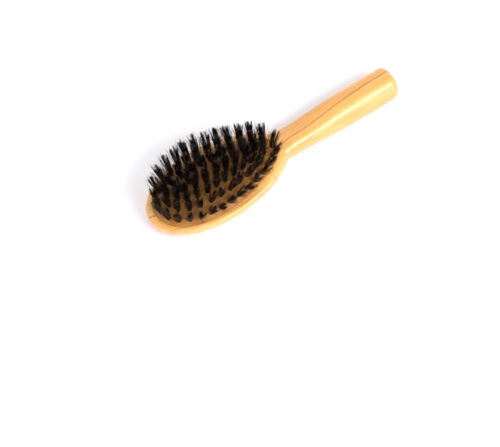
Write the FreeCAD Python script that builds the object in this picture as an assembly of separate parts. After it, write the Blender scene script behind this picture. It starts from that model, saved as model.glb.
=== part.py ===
"""Oval air-cushion hairbrush: wooden body, rubber cushion, bristle tufts and their anchor pins.

The brush lies on its back. +X runs from the head's tip to the end of the handle, +Z up through the
bristles, and the origin is under the middle of the brush, on the plane that it rests on.
All sizes are in millimetres. A station is a distance along the brush, counted from the tip.
"""
import FreeCAD, Part
import math
import os

Vec = FreeCAD.Vector
UP = Vec(0, 0, 1)

# ---------------------------------------------------------------- driving dimensions
# Oval head. A squareness of 2 is an ellipse, and more makes a boxier section.
HEAD_LENGTH = 90.0         # tip to where the oval would close inside the neck
HEAD_WIDTH = 48.2
HEAD_EGG = 0.05            # 0 is a plain ellipse, more makes the tip end fuller
RIM_HEIGHT = 14.2          # top of the rim above the table
RIM_ROUNDING = 2.6         # rim's top down to the head's widest line
RIM_SQUARENESS = 5.0
BACK_SQUARENESS = 2.6
TIP_SQUARENESS = 3.0       # of the head's outline, seen from the side
FLAT_DEPTH = 0.25          # how deep the resting flats are sanded into the round back
END_FLAT = 0.02            # how deep the tip and the handle's end are sanded flat

# Handle, an oval bar that swells from a narrow neck to the grip.
NECK_FROM_OVAL = 6.0       # oval's closing point to the narrowest section
NECK_RUNS_INTO_HEAD = 19.0 # narrowest section back to where the bar has its full width in the head
NECK_WIDTH = 17.0
NECK_BOTTOM = 1.6
NECK_TOP = 15.2
NECK_SQUARENESS = 3.0
NECK_BLEND = 4.0           # more makes a tighter fillet between the oval and the neck
GRIP_FROM_NECK = 40.0      # narrowest section to the full grip section
GRIP_WIDTH = 19.8
GRIP_HEIGHT = 18.8
GRIP_SQUARENESS = 2.3
GRIP_STRAIGHT = 27.0       # full grip section to where the end starts to round off
END_ROUNDING = 6.0
END_SQUARENESS = 2.5

# Recess for the cushion, with an undercut groove that holds the cushion's bead.
RIM_AT_TIP = 4.2           # wood left around the recess
RIM_AT_SIDE = 3.1
RIM_AT_HEEL = 3.0          # cushion's heel to the oval's closing point
CUSHION_EGG = 0.23         # the cushion narrows more towards the handle than the head does
RECESS_FLOOR = 8.0
LIP_HEIGHT = 1.5           # wood above the groove
GROOVE_HEIGHT = 1.6
GROOVE_DEPTH = 0.9

# Rubber cushion.
CUSHION_WALL = 1.4
CUSHION_RISE = 5.2         # crown above the cushion's own edge
CUSHION_EDGE_DROP = 0.5    # cushion's edge below the rim's top
CUSHION_FIT = 0.08         # gap between rubber and wood
CROWN_FLAT = 0.02          # share of the cushion that is flat at the crown
VENT_RADIUS = 0.6

# Bristle tufts, each a bundle folded over a pin and pulled up through the rubber.
# They stand in three rings and a centre row, evenly spaced between the cushion's edge and its axis.
RING_NAMES = ("outer", "middle", "inner")
EDGE_TO_RING = 3.6         # cushion's edge to the outer ring
RING_SPACING = 2.71        # pitch along a ring, in tuft diameters, before it is evened out
CENTRE_SPACING = 2.79      # pitch of the centre row, in tuft diameters
CENTRE_END_GAP = 0.9       # centre row's end to the inner ring, as a share of its pitch
TUFT_LENGTH = 17.0         # above the rubber
TUFT_ROOT_RADIUS = 1.2
TUFT_TIP_RADIUS = 1.65
TUFT_LEAN_ALONG = 0.5      # share of the rubber's slope that a tuft leans with, along the brush
TUFT_LEAN_ACROSS = 1.0     # and across it
TUFT_HOLE_FIT = 0.12       # rubber clear of the tuft, all round
FOLD_DEPTH = 0.75          # bristle below the pin's axis

# Anchor pins.
PIN_RADIUS = 0.35
PIN_SHARE = 0.8            # pin's length as a share of the pitch between rings
PIN_UNDER_RUBBER = 0.3     # pin's surface clear of the rubber above it
PIN_FIT = 0.03             # bristle fold clear of the pin, all round

# ---------------------------------------------------------------- worked out from them
HEAD_MIDDLE = HEAD_LENGTH / 2
NECK_STATION = HEAD_LENGTH + NECK_FROM_OVAL
GRIP_STATION = NECK_STATION + GRIP_FROM_NECK
END_STATION = GRIP_STATION + GRIP_STRAIGHT
BRUSH_LENGTH = END_STATION + END_ROUNDING
WIDEST_HEIGHT = RIM_HEIGHT - RIM_ROUNDING
NECK_MIDDLE = (NECK_TOP + NECK_BOTTOM) / 2

CUSHION_HALF_LENGTH = (HEAD_LENGTH - RIM_AT_TIP - RIM_AT_HEEL) / 2
CUSHION_HALF_WIDTH = HEAD_WIDTH / 2 - RIM_AT_SIDE
CUSHION_STATION = RIM_AT_TIP + CUSHION_HALF_LENGTH
CUSHION_HEEL = HEAD_LENGTH - RIM_AT_HEEL
CUSHION_EDGE = RIM_HEIGHT - CUSHION_EDGE_DROP
GROOVE_TOP = RIM_HEIGHT - LIP_HEIGHT
GROOVE_BOTTOM = GROOVE_TOP - GROOVE_HEIGHT
RING_PITCH = (CUSHION_HALF_WIDTH - EDGE_TO_RING) / len(RING_NAMES)
TUFT_PITCH = RING_SPACING * 2 * TUFT_ROOT_RADIUS
CENTRE_PITCH = CENTRE_SPACING * 2 * TUFT_ROOT_RADIUS
PIN_LENGTH = PIN_SHARE * RING_PITCH


def x_of(station):
    """X of a station."""
    return station - BRUSH_LENGTH / 2


def ease(value, start, stop):
    """0 before start, 1 after stop, and a smooth rise between them."""
    share = min(1.0, max(0.0, (value - start) / (stop - start)))
    return share * share * (3 - 2 * share)


def between(first, second, share):
    """The size that lies this share of the way from first to second."""
    return first + (second - first) * share


def superellipse(u, squareness):
    """Height of a superellipse at u, from -1 to 1 across it; nothing outside that."""
    return max(0.0, 1 - abs(u) ** squareness) ** (1 / squareness)


def egg(u, fullness):
    """Half width of an egg at u, from -1 at its full end to 1 at its narrow end."""
    return superellipse(u, 2) * (1 - fullness * u)


def egg_widest(fullness, samples=400):
    """The largest half width that an egg reaches."""
    return max(egg(2 * i / samples - 1, fullness) for i in range(samples))


def closed_curve(points):
    """Smooth closed wire through points, in two halves that meet at the first and middle ones."""
    count = len(points)
    spline = Part.BSplineCurve()
    spline.interpolate(Points=points, PeriodicFlag=True, Parameters=list(range(count + 1)))
    return Part.Wire([spline.toShape(0, count / 2), spline.toShape(count / 2, count)])


# ---------------------------------------------------------------- wooden body
def soft_max(first, second):
    """The larger of two sizes, with a fillet where they cross."""
    return (first ** NECK_BLEND + second ** NECK_BLEND) ** (1 / NECK_BLEND)


def section_sizes(station):
    """Half width, height of the widest line, rise above it, depth below it, top squareness."""
    u = station / HEAD_MIDDLE - 1
    into_neck = ease(station, HEAD_MIDDLE, NECK_STATION)
    into_grip = ease(station, NECK_STATION, GRIP_STATION)
    past_cushion = ease(station, CUSHION_HEEL, NECK_STATION)
    bar = ease(station, HEAD_MIDDLE, NECK_STATION - NECK_RUNS_INTO_HEAD)

    oval_width = HEAD_WIDTH / 2 * egg(u, HEAD_EGG) / egg_widest(HEAD_EGG)
    bar_width = between(NECK_WIDTH, GRIP_WIDTH, into_grip) / 2
    half_width = soft_max(oval_width, bar * bar_width)

    widest = between(WIDEST_HEIGHT, NECK_MIDDLE, into_neck)
    widest = between(widest, GRIP_HEIGHT / 2, into_grip)
    top = between(RIM_HEIGHT, NECK_TOP, past_cushion)
    top = between(top, GRIP_HEIGHT, into_grip)

    oval_depth = (WIDEST_HEIGHT + FLAT_DEPTH) * superellipse(u, TIP_SQUARENESS)
    bar_depth = between(NECK_MIDDLE - NECK_BOTTOM, GRIP_HEIGHT / 2 + FLAT_DEPTH, into_grip)
    depth = soft_max(oval_depth, bar * bar_depth)

    squareness = between(RIM_SQUARENESS, NECK_SQUARENESS, into_neck)
    squareness = between(squareness, GRIP_SQUARENESS, into_grip)

    tip_share = superellipse(max(0.0, 1 - station / RIM_ROUNDING), 2)
    end_share = superellipse(max(0.0, (station - END_STATION) / END_ROUNDING), END_SQUARENESS)
    rise = (top - widest) * tip_share
    return half_width * end_share, widest, rise * end_share, depth * end_share, squareness


def body_section(station, steps=32):
    """Closed cross-section of the wood at a station, from the middle of the back round by +Y."""
    half_width, widest, rise, depth, top_squareness = section_sizes(station)
    points = []
    for step in range(steps):
        angle = 2 * math.pi * step / steps - math.pi / 2
        across, up = math.cos(angle), math.sin(angle)
        n = top_squareness if up >= 0 else BACK_SQUARENESS
        radius = (abs(across) ** n + abs(up) ** n) ** (-1 / n)
        height = (rise if up >= 0 else depth) * radius * up
        points.append(Vec(x_of(station), half_width * radius * across, widest + height))
    return closed_curve(points)


def body_stations():
    """Stations of the sections, closer together where an end or the neck curves tightly."""
    quarter = [math.sin(math.pi / 2 * i / 9) for i in range(1, 10)]
    tip = [HEAD_MIDDLE * (1 - share) for share in reversed(quarter[:-1])]
    heel = [HEAD_MIDDLE * (1 + share) for share in [0.0] + quarter]
    neck = [between(HEAD_LENGTH, NECK_STATION, share) for share in (0.5, 1.0, 1.5, 2.0)]
    grip = [between(neck[-1], END_STATION, i / 7) for i in range(1, 8)]
    end = [between(END_STATION, BRUSH_LENGTH, share) for share in quarter[:-1]]
    return [END_FLAT] + tip + heel + neck + grip + end + [BRUSH_LENGTH - END_FLAT]


def recess_outline(grow, height, scale=1.0):
    """Outline of the recess at a height, grown by a margin and scaled about its middle."""
    points = []
    for step in range(48):
        angle = math.pi * step / 24
        u = math.cos(angle)
        x = (CUSHION_HALF_LENGTH + grow) * u * scale
        half = (CUSHION_HALF_WIDTH + grow) * scale
        y = half * math.sin(angle) * (1 - CUSHION_EGG * u) / egg_widest(CUSHION_EGG)
        points.append(Vec(x_of(CUSHION_STATION) + x, y, height))
    return closed_curve(points)


def recess_prism(grow, bottom, top):
    """Upright solid on the recess outline, between two heights."""
    return Part.Face(recess_outline(grow, bottom)).extrude(UP * (top - bottom))


def wooden_body():
    """Head and handle in one piece, flat where it rests, with the cushion's recess and groove."""
    wood = Part.makeLoft([body_section(station) for station in body_stations()], True, False)
    corner = Vec(-BRUSH_LENGTH, -HEAD_WIDTH, -RIM_HEIGHT)
    table = Part.makeBox(2 * BRUSH_LENGTH, 2 * HEAD_WIDTH, RIM_HEIGHT, corner)
    recess = recess_prism(0.0, RECESS_FLOOR, RIM_HEIGHT + NECK_TOP)
    groove = recess_prism(GROOVE_DEPTH, GROOVE_BOTTOM, GROOVE_TOP)
    return wood.cut([table, recess, groove])


# ---------------------------------------------------------------- rubber cushion
def crown_height(share):
    """Height of the rubber's outside, this share of the way from its middle to its edge."""
    return CUSHION_EDGE + CUSHION_RISE * (1 - share * share)


def dome(inset, bottom):
    """Solid under the rubber's outside, or under its inside when inset by the wall."""
    shares = [math.cos(math.pi / 2 * i / 11) for i in range(11)] + [CROWN_FLAT]
    outlines = [
        recess_outline(-CUSHION_FIT - inset, crown_height(share) - inset, share) for share in shares
    ]
    cap = Part.makeLoft(outlines, True, False)
    skirt = recess_prism(-CUSHION_FIT - inset, bottom, CUSHION_EDGE - inset)
    return skirt.fuse(cap).removeSplitter()


def air_cushion(holes):
    """Rubber dome with a skirt down through the wood's lip and a bead in the groove."""
    bottom = GROOVE_BOTTOM + CUSHION_FIT
    bead = recess_prism(GROOVE_DEPTH - CUSHION_FIT, bottom, GROOVE_TOP - CUSHION_FIT)
    outside = dome(0.0, bottom).fuse(bead)
    inside = dome(CUSHION_WALL, GROOVE_BOTTOM)
    vent_x = x_of(CUSHION_HEEL - EDGE_TO_RING - RING_PITCH / 2)
    vent = Part.makeCylinder(VENT_RADIUS, NECK_TOP, Vec(vent_x, 0, GROOVE_TOP), UP)
    return outside.cut([inside, vent, *holes])


# ---------------------------------------------------------------- bristle tufts and pins
def crown_at(x, y):
    """Height of the rubber's outside above (x, y), by halving on the scaled outlines."""
    u_here = (x - x_of(CUSHION_STATION)) / (CUSHION_HALF_LENGTH - CUSHION_FIT)
    v_here = abs(y) / (CUSHION_HALF_WIDTH - CUSHION_FIT)
    low, high = 0.0, 1.0
    for _ in range(40):
        share = (low + high) / 2
        within = abs(u_here) <= share
        reach = share * egg(u_here / share, CUSHION_EGG) / egg_widest(CUSHION_EGG) if within else 0
        if within and v_here <= reach:
            high = share
        else:
            low = share
    return crown_height(high)


def standing_direction(x, y, step=0.2):
    """Direction in which a tuft stands: square to the rubber, less some of its lean."""
    slope_x = (crown_at(x + step, y) - crown_at(x - step, y)) / (2 * step)
    slope_y = (crown_at(x, y + step) - crown_at(x, y - step)) / (2 * step)
    return Vec(-slope_x * TUFT_LEAN_ALONG, -slope_y * TUFT_LEAN_ACROSS, 1).normalize()


class Tuft:
    """One bundle of bristles, its pin, and the hole it needs in the rubber."""

    def __init__(self, x, y, along):
        self.root = Vec(x, y, crown_at(x, y))
        self.direction = standing_direction(x, y)
        self.along = (along - self.direction * along.dot(self.direction)).normalize()
        steepness = math.hypot(self.direction.x, self.direction.y)
        wall_here = CUSHION_WALL * (self.direction.z + steepness)
        pin_depth = wall_here + PIN_UNDER_RUBBER + PIN_RADIUS
        self.pin_middle = self.root - self.direction * pin_depth

    def bristles(self):
        foot = self.pin_middle - self.direction * FOLD_DEPTH
        straight = (self.root - foot).Length
        below = Part.makeCylinder(TUFT_ROOT_RADIUS, straight, foot, self.direction)
        above = Part.makeCone(
            TUFT_ROOT_RADIUS, TUFT_TIP_RADIUS, TUFT_LENGTH, self.root, self.direction
        )
        return below.fuse(above).removeSplitter().cut(self.pin(PIN_FIT))

    def pin(self, grow=0.0):
        start = self.pin_middle - self.along * (PIN_LENGTH / 2)
        return Part.makeCylinder(PIN_RADIUS + grow, PIN_LENGTH, start, self.along)

    def hole(self):
        start = self.root - self.direction * (2 * CUSHION_WALL)
        radius = TUFT_ROOT_RADIUS + TUFT_HOLE_FIT
        return Part.makeCylinder(radius, 4 * CUSHION_WALL, start, self.direction)


def ring_of_tufts(inset):
    """Tufts evenly spaced on the cushion's outline moved in by inset: from the tip round by +Y."""
    wire = recess_outline(-inset, 0.0)
    count = 2 * round(wire.Length / (2 * TUFT_PITCH))
    fine = 8
    trace = wire.discretize(Number=fine * count + 1)[:-1]
    first = min(range(len(trace)), key=lambda i: trace[i].x)
    turn = 1 if trace[(first + fine) % len(trace)].y > 0 else -1
    tufts = []
    for index in range(count):
        at = first + turn * fine * index
        ahead, behind = trace[(at + turn) % len(trace)], trace[(at - turn) % len(trace)]
        point = trace[at % len(trace)]
        tufts.append(Tuft(point.x, point.y, (ahead - behind).normalize()))
    return tufts


def centre_row():
    """Tufts along the brush's axis, inside the inner ring."""
    inner_ring_end = CUSHION_HALF_LENGTH - EDGE_TO_RING - (len(RING_NAMES) - 1) * RING_PITCH
    room = 2 * (inner_ring_end - CENTRE_END_GAP * CENTRE_PITCH)
    count = int(room / CENTRE_PITCH) + 1
    first = x_of(CUSHION_STATION) - CENTRE_PITCH * (count - 1) / 2
    return [Tuft(first + CENTRE_PITCH * i, 0.0, Vec(1, 0, 0)) for i in range(count)]


def tuft_groups():
    """The tufts by group: each ring in quarters, and the centre row."""
    quarters = ("tip_left", "heel_left", "heel_right", "tip_right")
    groups = {}
    for ring, name in enumerate(RING_NAMES):
        tufts = ring_of_tufts(EDGE_TO_RING + ring * RING_PITCH)
        for index, tuft in enumerate(tufts):
            quarter = quarters[4 * index // len(tufts)]
            groups.setdefault(f"{name}_{quarter}", []).append(tuft)
    groups["centre"] = centre_row()
    return groups


def brush_nodes():
    """Every node of the brush, by name."""
    groups = tuft_groups()
    holes = [tuft.hole() for tufts in groups.values() for tuft in tufts]
    nodes = {"brush_body": wooden_body(), "air_cushion": air_cushion(holes)}
    for group, tufts in groups.items():
        nodes[f"bristles_{group}"] = Part.makeCompound([tuft.bristles() for tuft in tufts])
        nodes[f"pins_{group}"] = Part.makeCompound([tuft.pin() for tuft in tufts])
    return nodes


if __name__ == "__main__":
    os.makedirs("parts", exist_ok=True)
    for name, shape in brush_nodes().items():
        shape.exportStep(f"parts/{name}.step")
        print(f"{name:28}{len(shape.Solids):3} solids {shape.Volume:10.1f} mm3, {shape.isValid()}")
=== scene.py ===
import math
import random

import bmesh
import bpy
import numpy as np
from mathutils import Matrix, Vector, geometry, noise


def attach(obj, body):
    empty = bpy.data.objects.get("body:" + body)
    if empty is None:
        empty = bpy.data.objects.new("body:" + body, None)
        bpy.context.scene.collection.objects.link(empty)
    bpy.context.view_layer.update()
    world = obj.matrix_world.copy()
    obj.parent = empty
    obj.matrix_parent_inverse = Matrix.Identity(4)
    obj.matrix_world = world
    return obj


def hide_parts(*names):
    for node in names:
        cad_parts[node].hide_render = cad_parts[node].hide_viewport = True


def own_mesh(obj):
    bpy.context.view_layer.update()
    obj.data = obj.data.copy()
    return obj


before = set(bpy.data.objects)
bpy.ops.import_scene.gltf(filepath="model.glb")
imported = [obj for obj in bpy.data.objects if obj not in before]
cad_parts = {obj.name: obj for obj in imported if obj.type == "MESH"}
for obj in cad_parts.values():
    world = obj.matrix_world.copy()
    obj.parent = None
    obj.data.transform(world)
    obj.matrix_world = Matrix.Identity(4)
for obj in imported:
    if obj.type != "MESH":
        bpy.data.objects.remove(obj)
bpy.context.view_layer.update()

# ---------------------------------------------------------------- wooden body
# Head and handle are one piece of olive wood, turned and routed to shape, sanded fine and oiled.
# Its brown growth lines run along the brush, and the satin surface shows the fibres and pores.


class Tone:
    """One output among a finish's nodes. Arithmetic on it adds Math nodes."""

    def __init__(self, finish, socket):
        self.finish = finish
        self.socket = socket

    def math(self, operation, *terms):
        return self.finish.node("ShaderNodeMath", {"operation": operation}, dict(enumerate(terms)))

    def __add__(self, other):
        return self.math("ADD", self, other)

    def __sub__(self, other):
        return self.math("SUBTRACT", self, other)

    def __rsub__(self, other):
        return self.math("SUBTRACT", other, self)

    def __mul__(self, other):
        return self.math("MULTIPLY", self, other)

    def __truediv__(self, other):
        return self.math("DIVIDE", self, other)

    def __pow__(self, other):
        return self.math("POWER", self, other)

    def __mod__(self, other):
        return self.math("FLOORED_MODULO", self, other)

    __radd__ = __add__
    __rmul__ = __mul__

    def ramp(self, start, stop, low=0.0, high=1.0):
        """A smooth step from low at start to high at stop."""
        values = {"Value": self, "From Min": start, "From Max": stop, "To Min": low, "To Max": high}
        return self.finish.node(
            "ShaderNodeMapRange", {"interpolation_type": "SMOOTHSTEP"}, values
        )


class Finish:
    """A material that is built up around one Principled shader."""

    def __init__(self, name):
        self.material = bpy.data.materials.new(name)
        self.material.use_nodes = True
        self.tree = self.material.node_tree
        self.tree.nodes.clear()
        self.place = self.node("ShaderNodeTexCoord", {}, {}, "Object")
        self.shader = self.node("ShaderNodeBsdfPrincipled", {}, {})
        self.node("ShaderNodeOutputMaterial", {}, {"Surface": self.shader}, None)

    def node(self, kind, settings, values, output=0):
        """Adds a node: its settings first, then the values or links of its sockets."""
        made = self.tree.nodes.new(kind)
        for key, setting in settings.items():
            setattr(made, key, setting)
        for key, value in values.items():
            if isinstance(value, Tone):
                self.tree.links.new(value.socket, made.inputs[key])
            else:
                made.inputs[key].default_value = value
        return None if output is None else Tone(self, made.outputs[output])

    def axes(self):
        """The place on the piece as separate x, y and z, in metres."""
        parts = self.node("ShaderNodeSeparateXYZ", {}, {"Vector": self.place})
        return [Tone(self, socket) for socket in parts.socket.node.outputs]

    def cloud(self, stretch, detail=2.0, roughness=0.5, shift=0.0):
        """Noise from 0 to 1, with stretch features a metre along each axis."""
        values = {"Vector": self.place, "Scale": stretch, "Location": (shift, shift, shift)}
        place = self.node("ShaderNodeMapping", {}, values)
        values = {"Vector": place, "Scale": 1.0, "Detail": detail, "Roughness": roughness}
        return self.node("ShaderNodeTexNoise", {}, values)

    def blend(self, share, first, second):
        """The first colour turning into the second as share goes from 0 to 1."""
        first, second = [c if isinstance(c, Tone) else (*c, 1) for c in (first, second)]
        settings = {"data_type": "RGBA", "blend_type": "MIX"}
        # A Mix node numbers its sockets for every type: 0 is the factor, 6 and 7 the colours.
        return self.node("ShaderNodeMix", settings, {0: share, 6: first, 7: second}, 2)

    def set(self, **sockets):
        """Feeds the shader's sockets; an underscore stands for a space."""
        for key, value in sockets.items():
            socket = self.shader.socket.node.inputs[key.replace("_", " ")]
            if isinstance(value, Tone):
                self.tree.links.new(value.socket, socket)
            else:
                socket.default_value = value

    def relief(self, height, depth):
        """Bump from a height of 0 to 1 that stands for depth metres."""
        values = {"Strength": 1.0, "Distance": depth, "Height": height}
        self.set(Normal=self.node("ShaderNodeBump", {}, values))


def olive_wood():
    wood = Finish("oiled_olive_wood")
    x, y, z = wood.axes()

    # The growth rings circle the heart of the branch, which lay beside the brush, a little lower
    # and at a slight slant. They sway, and bend to the heart's side at both ends of the head.
    heart_y, heart_below, slant_y, slant_z = 0.052, 0.014, 0.03, 0.08
    sway = wood.cloud((12, 50, 50), 1.0) - 0.5
    ripple = wood.cloud((30, 160, 160), 1.5, shift=3.0) - 0.5
    bow = x.ramp(-0.035, -0.100, 0.0, 0.013) + x.ramp(-0.035, 0.012, 0.0, 0.010)
    across = y - heart_y + sway * 0.009 + x * slant_y - bow
    height = z + heart_below + x * slant_z
    from_heart = (across * across + height * height) ** 0.5 + ripple * 0.0012

    # Good and bad years make wide and narrow rings, of which only some end in a bold brown line.
    ring_width, uneven, year_scale, first_ring = 0.0022, 2.2, 170.0, 11.0
    years = wood.node(
        "ShaderNodeTexNoise", {"noise_dimensions": "1D"}, {"W": from_heart, "Scale": year_scale}
    )
    ring = from_heart / ring_width + uneven * years
    in_ring = ring % 1.0
    which = ring.math("FLOOR", ring)
    strength = wood.node(
        "ShaderNodeTexWhiteNoise", {"noise_dimensions": "1D"}, {"W": which + first_ring}
    )
    late_wood = in_ring.ramp(0.55, 0.93) * in_ring.ramp(0.94, 1.0, 1.0, 0.0)
    shade = in_ring.ramp(0.0, 0.9) * in_ring.ramp(0.92, 1.0, 1.0, 0.0)
    fainter_near_heart = y.ramp(0.005, 0.011, 1.0, 0.35)
    bold = strength.ramp(0.35, 0.9) * fainter_near_heart

    fibres = wood.cloud((50, 1500, 1500), 3.0, 0.6, 7.0)
    pores = wood.cloud((260, 3200, 3200), 1.0, 0.5, 1.0).ramp(0.64, 0.72)
    cream = wood.cloud((22, 90, 90), 2.0, 0.5, 5.0)
    rust = wood.cloud((14, 120, 120), 2.0, 0.5, 9.0).ramp(0.52, 0.68)

    colour = wood.blend(cream.ramp(0.35, 0.65), (0.79, 0.345, 0.030), (0.83, 0.43, 0.066))
    colour = wood.blend(rust * 0.5, colour, (0.58, 0.25, 0.05))
    colour = wood.blend(shade * (0.06 + 0.27 * bold), colour, (0.50, 0.20, 0.028))
    colour = wood.blend(late_wood * (0.14 + 0.74 * bold), colour, (0.20, 0.078, 0.015))
    colour = wood.blend(fibres.ramp(0.3, 0.7, 0.0, 0.14), colour, (0.36, 0.17, 0.04))
    colour = wood.blend(pores * 0.28, colour, (0.16, 0.07, 0.016))
    wood.set(
        Specular_IOR_Level=0.5,
        Base_Color=colour,
        Roughness=0.38 + 0.12 * fibres + 0.15 * pores,
        Coat_Weight=1.0,
        Coat_Roughness=0.32,
        Coat_IOR=1.72,
    )
    wood.relief(fibres * 0.35 - pores * 0.6 - late_wood * 0.15, 0.00006)
    return wood.material


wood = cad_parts["brush_body"]
wood.data.materials.clear()
wood.data.materials.append(olive_wood())

# ---------------------------------------------------------------- rubber cushion
# A dome of natural rubber, moulded in one piece with the skirt and bead that hold it in the wood's
# groove. It is pierced once for every tuft, and a small vent near the handle lets its air out.

# The sizes of the rubber and the bristles are in millimetres, with heights above the table.
MM = 0.001
HALF_LENGTH = 41.4
HALF_WIDTH = 21.0
EGG = 0.23
MIDDLE_X = -38.9
EDGE_HEIGHT = 13.7
RISE = 5.2
WALL = 1.4
FIT = 0.08
GROOVE_TOP = 12.7
GROOVE_BOTTOM = 11.1
GROOVE_DEPTH = 0.9
HOLE_RADIUS = 1.28
VENT_RADIUS = 0.6
EDGE_TO_RING = 3.6
RING_PITCH = 5.8
TUFT_PITCH = 6.504
CENTRE_PITCH = 6.696
CENTRE_END_GAP = 0.9
RINGS = ("outer", "middle", "inner")
TURNS = np.linspace(0, 2 * math.pi, 4001)
EDGE_TURNS = np.linspace(0, 2 * math.pi, 241)[:-1]
WIDEST = np.max(np.sin(TURNS) * (1 - EGG * np.cos(TURNS)))


def outline(turns, grow=0.0, scale=1.0):
    """Points of the cushion's egg-shaped outline at these turns, 0 at the handle's side."""
    along = (HALF_LENGTH + grow) * scale * np.cos(turns)
    half = (HALF_WIDTH + grow) * scale / WIDEST
    return np.stack([MIDDLE_X + along, half * np.sin(turns) * (1 - EGG * np.cos(turns))], -1)


def share_of_edge(places):
    """How far out each (x, y) lies: 0 in the cushion's middle, 1 at its edge."""
    u = (places[..., 0] - MIDDLE_X) / (HALF_LENGTH - FIT)
    v = np.abs(places[..., 1]) / (HALF_WIDTH - FIT)
    low, high = np.zeros_like(u), np.ones_like(u)
    halvings = 30
    for _ in range(halvings):
        share = (low + high) / 2
        cosine = np.clip(u / share, -1, 1)
        reach = share * np.sqrt(1 - cosine ** 2) * (1 - EGG * cosine) / WIDEST
        inside = (np.abs(u) <= share) & (v <= reach)
        high = np.where(inside, share, high)
        low = np.where(inside, low, share)
    return high


def crown(places):
    """Height of the rubber's outside over each (x, y)."""
    return EDGE_HEIGHT + RISE * (1 - share_of_edge(places) ** 2)


def standing(places):
    """The directions in which tufts stand at each (x, y): square to the dome, but less so in x."""
    reach, lean_in_x = 0.2, 0.5
    slopes = [
        (crown(places + step) - crown(places - step)) / (2 * reach) for step in np.eye(2) * reach
    ]
    leans = np.stack([-slopes[0] * lean_in_x, -slopes[1], np.ones(len(places))], -1)
    return leans / np.linalg.norm(leans, axis=1, keepdims=True)


def tuft_groups():
    """Each group's tufts as (root, direction, run of the ring), as they are on the brush."""
    groups = {}
    quarters = ("tip_left", "heel_left", "heel_right", "tip_right")
    for index, ring in enumerate(RINGS):
        line = outline(math.pi - TURNS, -(EDGE_TO_RING + index * RING_PITCH))
        steps = np.linalg.norm(np.diff(line, axis=0), axis=1)
        travelled = np.concatenate([[0], np.cumsum(steps)])
        count = 2 * round(travelled[-1] / (2 * TUFT_PITCH))
        at = travelled[-1] * np.arange(count) / count
        a_little_on = at + 0.1
        spots, ahead = [
            np.stack([np.interp(place, travelled, line[:, axis]) for axis in (0, 1)], -1)
            for place in (at, a_little_on)
        ]
        names = [f"{ring}_{quarters[4 * number // count]}" for number in range(count)]
        add_tufts(groups, names, spots, ahead - spots)
    room = 2 * (HALF_LENGTH - EDGE_TO_RING - 2 * RING_PITCH - CENTRE_END_GAP * CENTRE_PITCH)
    count = int(room / CENTRE_PITCH) + 1
    spots = np.zeros((count, 2))
    spots[:, 0] = MIDDLE_X + CENTRE_PITCH * (np.arange(count) - (count - 1) / 2)
    add_tufts(groups, ["centre"] * count, spots, np.full((count, 2), (1.0, 0.0)))
    return groups


def add_tufts(groups, names, spots, runs):
    """Adds a tuft at each (x, y) to its group as (root, direction, run of its row)."""
    for name, spot, top, lean, run in zip(names, spots, crown(spots), standing(spots), runs):
        tuft = (Vector((*spot, top)), Vector(lean), Vector((*run, 0)).normalized())
        groups.setdefault(name, []).append(tuft)


GROUPS = tuft_groups()
ROOTS = np.array([root for tufts in GROUPS.values() for root, _, _ in tufts])
VENT_X = MIDDLE_X + HALF_LENGTH - EDGE_TO_RING - RING_PITCH / 2
SHARP_FROM = 40


def new_piece(name, corners, faces, finish, body):
    """A mesh piece from corners in millimetres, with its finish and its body."""
    mesh = bpy.data.meshes.new(name)
    mesh.from_pydata([tuple(c) for c in np.asarray(corners, float) * MM], [], faces)
    mesh.materials.append(finish)
    work = bmesh.new()
    work.from_mesh(mesh)
    bmesh.ops.recalc_face_normals(work, faces=work.faces)
    work.to_mesh(mesh)
    work.free()
    mesh.polygons.foreach_set("use_smooth", [True] * len(mesh.polygons))
    mesh.set_sharp_from_angle(angle=math.radians(SHARP_FROM))
    piece = bpy.data.objects.new(name, mesh)
    bpy.context.scene.collection.objects.link(piece)
    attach(piece, body)
    return piece


def natural_rubber():
    rubber = Finish("natural_rubber")
    mottle = rubber.cloud((90, 90, 90), 3.0)
    speckle = rubber.cloud((1500, 1500, 1500), 2.0, shift=2.0)
    flow = rubber.cloud((35, 210, 210), 2.0, shift=6.0)
    colour = rubber.blend(mottle.ramp(0.3, 0.7), (0.30, 0.118, 0.018), (0.50, 0.22, 0.042))
    colour = rubber.blend(flow.ramp(0.5, 0.7) * 0.3, colour, (0.58, 0.33, 0.11))
    colour = rubber.blend(speckle.ramp(0.62, 0.7) * 0.25, colour, (0.20, 0.08, 0.02))
    rubber.set(Base_Color=colour, Roughness=0.46 + 0.16 * mottle)
    rubber.set(Specular_IOR_Level=0.25, Subsurface_Weight=0.06, Subsurface_Scale=0.002)
    rubber.relief(speckle * 0.6 + mottle * 0.4, 0.00005)
    return rubber.material


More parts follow.
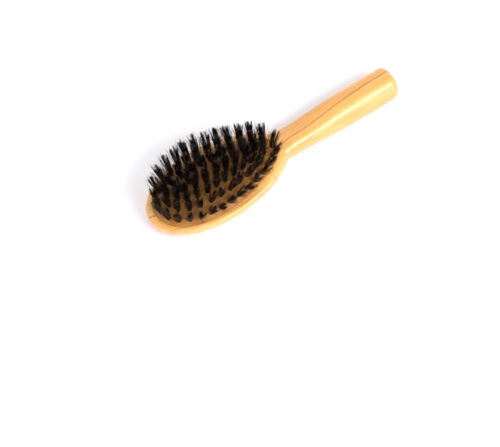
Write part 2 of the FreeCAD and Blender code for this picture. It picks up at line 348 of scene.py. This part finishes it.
def pierced_sheet():
    """The cushion as flat triangles: its outline, the tufts' holes, the vent, and a filling."""
    spots, loops = [], []

    def add_loop(points):
        first = len(spots)
        spots.extend(points)
        loops.extend((first + i, first + (i + 1) % len(points)) for i in range(len(points)))

    # Rows of points at the outline and round each hole keep the triangles small and even there.
    for scale in (1.0, 0.988, 0.97):
        add_loop([tuple(p) for p in outline(EDGE_TURNS, -FIT, scale)])
    holes = [(root[0], root[1], HOLE_RADIUS) for root in ROOTS] + [(VENT_X, 0.0, VENT_RADIUS)]
    hole_sides = 20
    around = np.arange(hole_sides) * math.pi / (hole_sides / 2)
    for x, y, radius in holes:
        for grow in (0.0, 0.12, 0.3, 0.55, 0.9):
            reach = radius + grow
            circle = [(x + reach * math.cos(a), y + reach * math.sin(a)) for a in around]
            if grow == 0.0:
                add_loop(circle)
            else:
                spots.extend(circle)

    # A grid of points fills what lies between those rows.
    clear_of_hole, clear_of_edge, column_pitch, row_pitch = 1.35, 0.955, 0.95, 0.82
    centres = np.array([(x, y) for x, y, _ in holes])
    reach = np.array([radius + clear_of_hole for _, _, radius in holes])
    row, column = [index.ravel() for index in np.mgrid[-26:27, -50:51]]
    grid = np.stack([MIDDLE_X + (column + 0.5 * (row % 2)) * column_pitch, row * row_pitch], -1)
    clear = np.linalg.norm(grid[:, None] - centres, axis=2) - reach
    spots.extend(grid[(share_of_edge(grid) < clear_of_edge) & (clear.min(1) > 0)].tolist())
    made = geometry.delaunay_2d_cdt([Vector(s) for s in spots], loops, [], 0, 1e-6)
    flat = np.array([tuple(p) for p in made[0]])
    faces = np.array(made[2])

    # The triangles over the holes go.
    middles = flat[faces].mean(1)[:, None]
    clear = np.linalg.norm(middles - centres, axis=2) - (reach - clear_of_hole)
    return flat, faces[clear.min(1) > -0.02].tolist()


def cushion_dome(finish):
    """The dome: crowned, a little uneven, and drawn up in a low collar round each tuft."""
    collar_height, collar_width, unevenness = 0.26, 0.42, 0.10
    flat, faces = pierced_sheet()
    gap = np.hypot(flat[:, None, 0] - ROOTS[:, 0], flat[:, None, 1] - ROOTS[:, 1]).min(1)
    collar = collar_height * np.exp(-((gap - HOLE_RADIUS) / collar_width) ** 2)
    wander = np.array([noise.noise(Vector((x * 0.12, y * 0.12, 4.0))) for x, y in flat])
    inland = np.clip((1 - share_of_edge(flat)) * 8, 0, 1)
    top = crown(flat) + (collar + unevenness * wander) * inland
    outside = np.column_stack([flat, top])

    # The inside is the outside moved in by the wall, but stays over the skirt at the dome's edge.
    inside = outside - standing(flat) * WALL
    thin = outside[:, 2] - WALL < EDGE_HEIGHT
    inside[thin, :2] = outside[thin, :2]
    inside[:, 2] = np.maximum(inside[:, 2], EDGE_HEIGHT)
    inside[:, 2] = np.minimum(inside[:, 2], outside[:, 2] - 0.02)

    # Walls join the two round the outline and the holes, where an edge has a face on one side only.
    count = len(flat)
    both = [*faces, *[tuple(count + i for i in reversed(face)) for face in faces]]
    edges = dict.fromkeys(edge for face in faces for edge in zip(face, (*face[1:], face[0])))
    for first, second in edges:
        if (second, first) not in edges:
            both.append((second, first, count + first, count + second))
    return new_piece(
        "rubber_dome", np.vstack([outside, inside]), both, finish, "root"
    )


def cushion_skirt(finish):
    """The ring below the dome's edge: down through the lip, and out to the bead in the groove."""
    out, low, high = GROOVE_DEPTH - FIT, GROOVE_BOTTOM + FIT, GROOVE_TOP - FIT
    profile = [(-FIT, EDGE_HEIGHT), (-FIT, high + 0.15), (0.1 - FIT, high), (out - 0.2, high)]
    profile += [(out, high - 0.25), (out, low + 0.25), (out - 0.25, low), (0.2 - WALL, low)]
    profile += [(-FIT - WALL, low + 0.2), (-FIT - WALL, EDGE_HEIGHT)]
    corners = []
    for grow, height in profile:
        ring = outline(EDGE_TURNS, grow)
        corners.append(np.column_stack([ring, np.full(len(ring), height)]))
    around, rows = len(EDGE_TURNS), len(profile)
    faces = []
    for row in range(rows):
        for i in range(around):
            j, below = (i + 1) % around, (row + 1) % rows
            face = (row * around + i, row * around + j, below * around + j, below * around + i)
            faces.append(face)
    return new_piece("rubber_skirt", np.vstack(corners), faces, finish, "root")


rubber_finish = natural_rubber()
dome = cushion_dome(rubber_finish)
skirt = cushion_skirt(rubber_finish)
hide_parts("air_cushion")
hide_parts("air_cushion")
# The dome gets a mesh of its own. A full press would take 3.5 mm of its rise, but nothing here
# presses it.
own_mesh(dome)

# ---------------------------------------------------------------- bristle tufts
# Each tuft is a bundle of black boar bristles, folded once round its pin and drawn up through the
# rubber. The bristles taper, gather in a few uneven wisps and end at slightly different lengths.
TUFT_LENGTH = 17.0
ROOT_RADIUS = 1.2
TIP_RADIUS = 2.75
PIN_RADIUS = 0.35
PIN_UNDER_RUBBER = 0.3
BRISTLES_FOLDED = 80
BRISTLE_RADIUS = 0.115
THINNER_AT_TIP = 0.55
SIDES = 3
WISPS = 6
STRAYS = 0.18
GOLDEN_ANGLE = 2.39996
IN_HOLE = 0.94
STRIP_FILL = 0.9


def boar_bristle():
    hair = Finish("black_boar_bristle")
    worn = hair.cloud((700, 700, 500), 2.0, shift=3.0)
    length = hair.node("ShaderNodeAttribute", {"attribute_name": "length"}, {}, "Fac")
    single = hair.node("ShaderNodeAttribute", {"attribute_name": "single"}, {}, "Fac")
    brown_end = length.ramp(0.6, 1.0) * single.ramp(0.6, 0.9) * 0.6
    pale_hair = single.ramp(0.992, 0.994) * 0.8
    colour = hair.blend(single, (0.0040, 0.0032, 0.0034), (0.013, 0.008, 0.006))
    colour = hair.blend(brown_end, colour, (0.055, 0.026, 0.012))
    colour = hair.blend(pale_hair, colour, (0.32, 0.24, 0.15))
    hair.set(Base_Color=colour, Roughness=0.27 + 0.22 * worn, Specular_IOR_Level=0.5)
    hair.relief(worn, 0.00002)
    return hair.material


def tuft_paths(root, direction, run, dice):
    """A tuft's folded bristles: each one's centre line, from tip to fold to tip, and how far up
    the tuft its points are, from 0 at the rubber to about 1."""
    along = (run - direction * run.dot(direction)).normalized()
    side = direction.cross(along)
    tilt_a, tilt_b, taller = dice.gauss(0, 0.5), dice.gauss(0, 0.5), dice.gauss(-0.2, 0.4)
    steepness = math.hypot(direction.x, direction.y)
    pin = -(WALL * (direction.z + steepness) + PIN_UNDER_RUBBER + PIN_RADIUS)
    wisps = []
    for number in range(WISPS):
        angle = 2 * math.pi * (number + dice.uniform(-0.4, 0.4)) / WISPS
        reach = TIP_RADIUS * dice.uniform(0.35, 1.25)
        size = dice.uniform(-2.4, 0.5)
        wisps.append((reach * math.cos(angle), reach * math.sin(angle), size))
    spin = dice.uniform(0, 2 * math.pi)
    legs = []
    for number in range(2 * BRISTLES_FOLDED):
        angle = spin + GOLDEN_ANGLE * number
        reach = ROOT_RADIUS * math.sqrt((number + 0.5) / (2 * BRISTLES_FOLDED)) * IN_HOLE
        legs.append((reach * math.cos(angle), reach * math.sin(angle)))
    # The legs on one side of the pin come first, in step with those that they fold over to.
    legs.sort(key=lambda leg: (leg[1] > 0, round(abs(leg[1]) * 4), leg[0]))
    half = len(legs) // 2

    def leg_line(a, b):
        """One leg from the rubber's outside to its tip. It leans over to the nearest wisp, but a
        stray leg leans out on its own."""
        nearest = min(wisps, key=lambda w: math.hypot(w[0] * 0.7 - a, w[1] * 0.7 - b))
        stray = dice.random() < STRAYS
        pull = dice.uniform(0.35, 0.85) * (0.1 if stray else 1)
        spread = TIP_RADIUS / ROOT_RADIUS * (dice.uniform(1.2, 2.1) if stray else 1.1)
        tip_a = a * spread * (1 - pull) + nearest[0] * pull + tilt_a + dice.gauss(0, 0.2)
        tip_b = b * spread * (1 - pull) + nearest[1] * pull + tilt_b + dice.gauss(0, 0.2)
        length = TUFT_LENGTH + taller + nearest[2] + dice.uniform(-1.6, 0.3)
        bow_a, bow_b = dice.gauss(0, 0.15), dice.gauss(0, 0.15)
        line = []
        for share in (0.0, 0.27, 0.54, 0.79, 1.0):
            lean = share ** 0.95
            bow = math.sin(math.pi * share)
            here_a = a + (tip_a - a) * lean + bow_a * bow
            here_b = b + (tip_b - b) * lean + bow_b * bow
            line.append((here_a, here_b, length * share))
        return line

    paths = []
    for left, right in zip(legs[:half], legs[half:]):
        first, second = leg_line(*left), leg_line(*right)
        width = (abs(left[1]) + abs(right[1])) / 2
        past_pin = PIN_RADIUS + BRISTLE_RADIUS + 0.03
        beside = max(width, past_pin)
        under = past_pin + (beside - 0.5) * 0.3
        middle = (left[0] + right[0]) / 2
        fold = [(left[0], -beside, pin), (middle, 0.0, pin - under), (right[0], beside, pin)]
        flat = [*reversed(first), *fold, *second]
        line = [root + along * a + side * b + direction * h for a, b, h in flat]
        heights = [max(0.0, h) / TUFT_LENGTH for _, _, h in flat]
        paths.append((line, heights))
    return paths


def bristle_piece(group, tufts, body, finish):
    """All the bristles of a group, each a thin tapered rod with its own strips of the UV map."""
    dice = random.Random(f"tufts {group}")
    corners, faces, lengths, singles, strips, strands = [], [], [], [], [], []
    for tuft in tufts:
        strands.extend(tuft_paths(*tuft, dice))
    for number, (line, heights) in enumerate(strands):
        start = len(corners)
        thick, single = BRISTLE_RADIUS * dice.uniform(0.85, 1.15), dice.random()
        for i, point in enumerate(line):
            ahead = line[min(i + 1, len(line) - 1)] - line[max(i - 1, 0)]
            ahead.normalize()
            across = ahead.cross(Vector((0.31, 0.17, 0.94)))
            across = across.normalized() if across.length > 1e-3 else Vector((1, 0, 0))
            over = ahead.cross(across)
            radius = thick * (1 - THINNER_AT_TIP * heights[i] ** 2)
            for s in range(SIDES):
                angle = 2 * math.pi * s / SIDES
                outward = across * math.cos(angle) + over * math.sin(angle)
                corners.append(point + outward * radius)
                lengths.append(heights[i])
                singles.append(single)
        for i in range(len(line) - 1):
            for s in range(SIDES):
                t = (s + 1) % SIDES
                low, high = start + i * SIDES, start + (i + 1) * SIDES
                faces.append((low + s, low + t, high + t, high + s))
                left = (number + s / SIDES * STRIP_FILL) / len(strands)
                right = (number + (s + 1) / SIDES * STRIP_FILL) / len(strands)
                down, up = i / (len(line) - 1), (i + 1) / (len(line) - 1)
                strips.extend([(left, down), (right, down), (right, up), (left, up)])
        last = start + (len(line) - 1) * SIDES
        for end in (tuple(start + s for s in range(SIDES)), tuple(last + s for s in range(SIDES))):
            faces.append(end)
            strips.extend([((number + 0.5) / len(strands), 0.5)] * SIDES)
    mesh = bpy.data.meshes.new(f"tufts_{group}")
    mesh.from_pydata([tuple(c * MM) for c in corners], [], faces)
    mesh.materials.append(finish)
    mesh.polygons.foreach_set("use_smooth", [True] * len(mesh.polygons))
    for name, values in (("length", lengths), ("single", singles)):
        mesh.attributes.new(name, "FLOAT", "POINT").data.foreach_set("value", values)
    unrolled = mesh.uv_layers.new(name="OFBake")
    unrolled.uv.foreach_set("vector", np.array(strips, float).ravel())
    piece = bpy.data.objects.new(f"tufts_{group}", mesh)
    bpy.context.scene.collection.objects.link(piece)
    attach(piece, body)
    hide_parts(f"bristles_{group}")


bristle_finish = boar_bristle()
for group, tufts in GROUPS.items():
    ring = group.split("_")[0]
    body = "centre_row" if ring == "centre" else f"{ring}_ring"
    bristle_piece(group, tufts, body, bristle_finish)

# ---------------------------------------------------------------- anchor pins
# A short length of bright steel wire lies under the rubber across the fold of each tuft, and stops
# the tuft from being drawn out. The wire keeps the fine lines of the die that it was drawn through.


def drawn_wire():
    wire = Finish("drawn_steel_wire")
    lines = wire.cloud((300, 9000, 9000), 2.0)
    dull = wire.cloud((900, 900, 900), 2.0, shift=4.0)
    colour = wire.blend(dull.ramp(0.35, 0.65), (0.56, 0.56, 0.57), (0.40, 0.39, 0.38))
    wire.set(Base_Color=colour, Roughness=0.24 + 0.18 * dull + 0.08 * lines, Metallic=1.0)
    wire.relief(lines, 0.00001)
    return wire.material


wire_finish = drawn_wire()
for group in GROUPS:
    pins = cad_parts[f"pins_{group}"]
    pins.data.materials.clear()
    pins.data.materials.append(wire_finish)

# ---------------------------------------------------------------- table, light and camera
# The brush lies on its back on a plain, nearly white table. Two broad soft lights stand beyond the
# lower right of the view, one high and one low, and a weaker one fills the side away from them.
TABLE_REACH = 3.0


def white_table():
    paint = Finish("white_table")
    cloud = paint.cloud((6, 6, 6), 2.0)
    grain = paint.cloud((900, 900, 900), 2.0)
    colour = paint.blend(cloud.ramp(0.3, 0.7), (0.86, 0.86, 0.875), (0.88, 0.88, 0.89))
    paint.set(Base_Color=colour, Roughness=0.62 + 0.06 * grain)
    paint.relief(grain, 0.00002)
    return paint.material


table_mesh = bpy.data.meshes.new("table")
sides = ((-1, -1), (1, -1), (1, 1), (-1, 1))
table_corners = [(x * TABLE_REACH, y * TABLE_REACH, 0) for x, y in sides]
table_mesh.from_pydata(table_corners, [], [(0, 1, 2, 3)])
table_mesh.materials.append(white_table())
table = bpy.data.objects.new("table", table_mesh)
bpy.context.scene.collection.objects.link(table)


def soft_light(name, place, aim, width, height, power, colour):
    lamp = bpy.data.lights.new(name, "AREA")
    lamp.shape = "RECTANGLE"
    lamp.size, lamp.size_y = width, height
    lamp.energy = power
    lamp.color = colour
    holder = bpy.data.objects.new(name, lamp)
    holder.location = place
    holder.rotation_euler = (Vector(aim) - Vector(place)).to_track_quat("-Z", "Y").to_euler()
    bpy.context.scene.collection.objects.link(holder)


AIM = (0.0, 0.0, 0.01)
soft_light("key", (0.25, -0.68, 0.80), AIM, 0.6, 0.3, 6.8, (1.0, 0.965, 0.97))
soft_light("low", (0.25, -0.95, 0.36), AIM, 1.4, 0.6, 4.7, (1.0, 0.85, 1.04))
soft_light("fill", (-0.60, 0.45, 0.80), AIM, 0.9, 0.9, 1.0, (0.95, 0.97, 1.0))

world = bpy.data.worlds.new("studio")
world.use_nodes = True
backdrop = world.node_tree.nodes["Background"].inputs
backdrop["Color"].default_value = (0.965, 0.965, 1.0, 1)
backdrop["Strength"].default_value = 1.06
bpy.context.scene.world = world
bpy.context.scene.view_settings.view_transform = "Standard"

lens = bpy.data.cameras.new("camera")
lens.lens = 106.56
lens.sensor_width = 36.0
lens.clip_start, lens.clip_end = 0.01, 20.0
camera = bpy.data.objects.new("camera", lens)
camera.location = (-0.20002, -0.35603, 0.77268)
camera.rotation_euler = [math.radians(angle) for angle in (25.2428, 2.7592, -32.5436)]
bpy.context.scene.collection.objects.link(camera)
bpy.context.scene.camera = camera
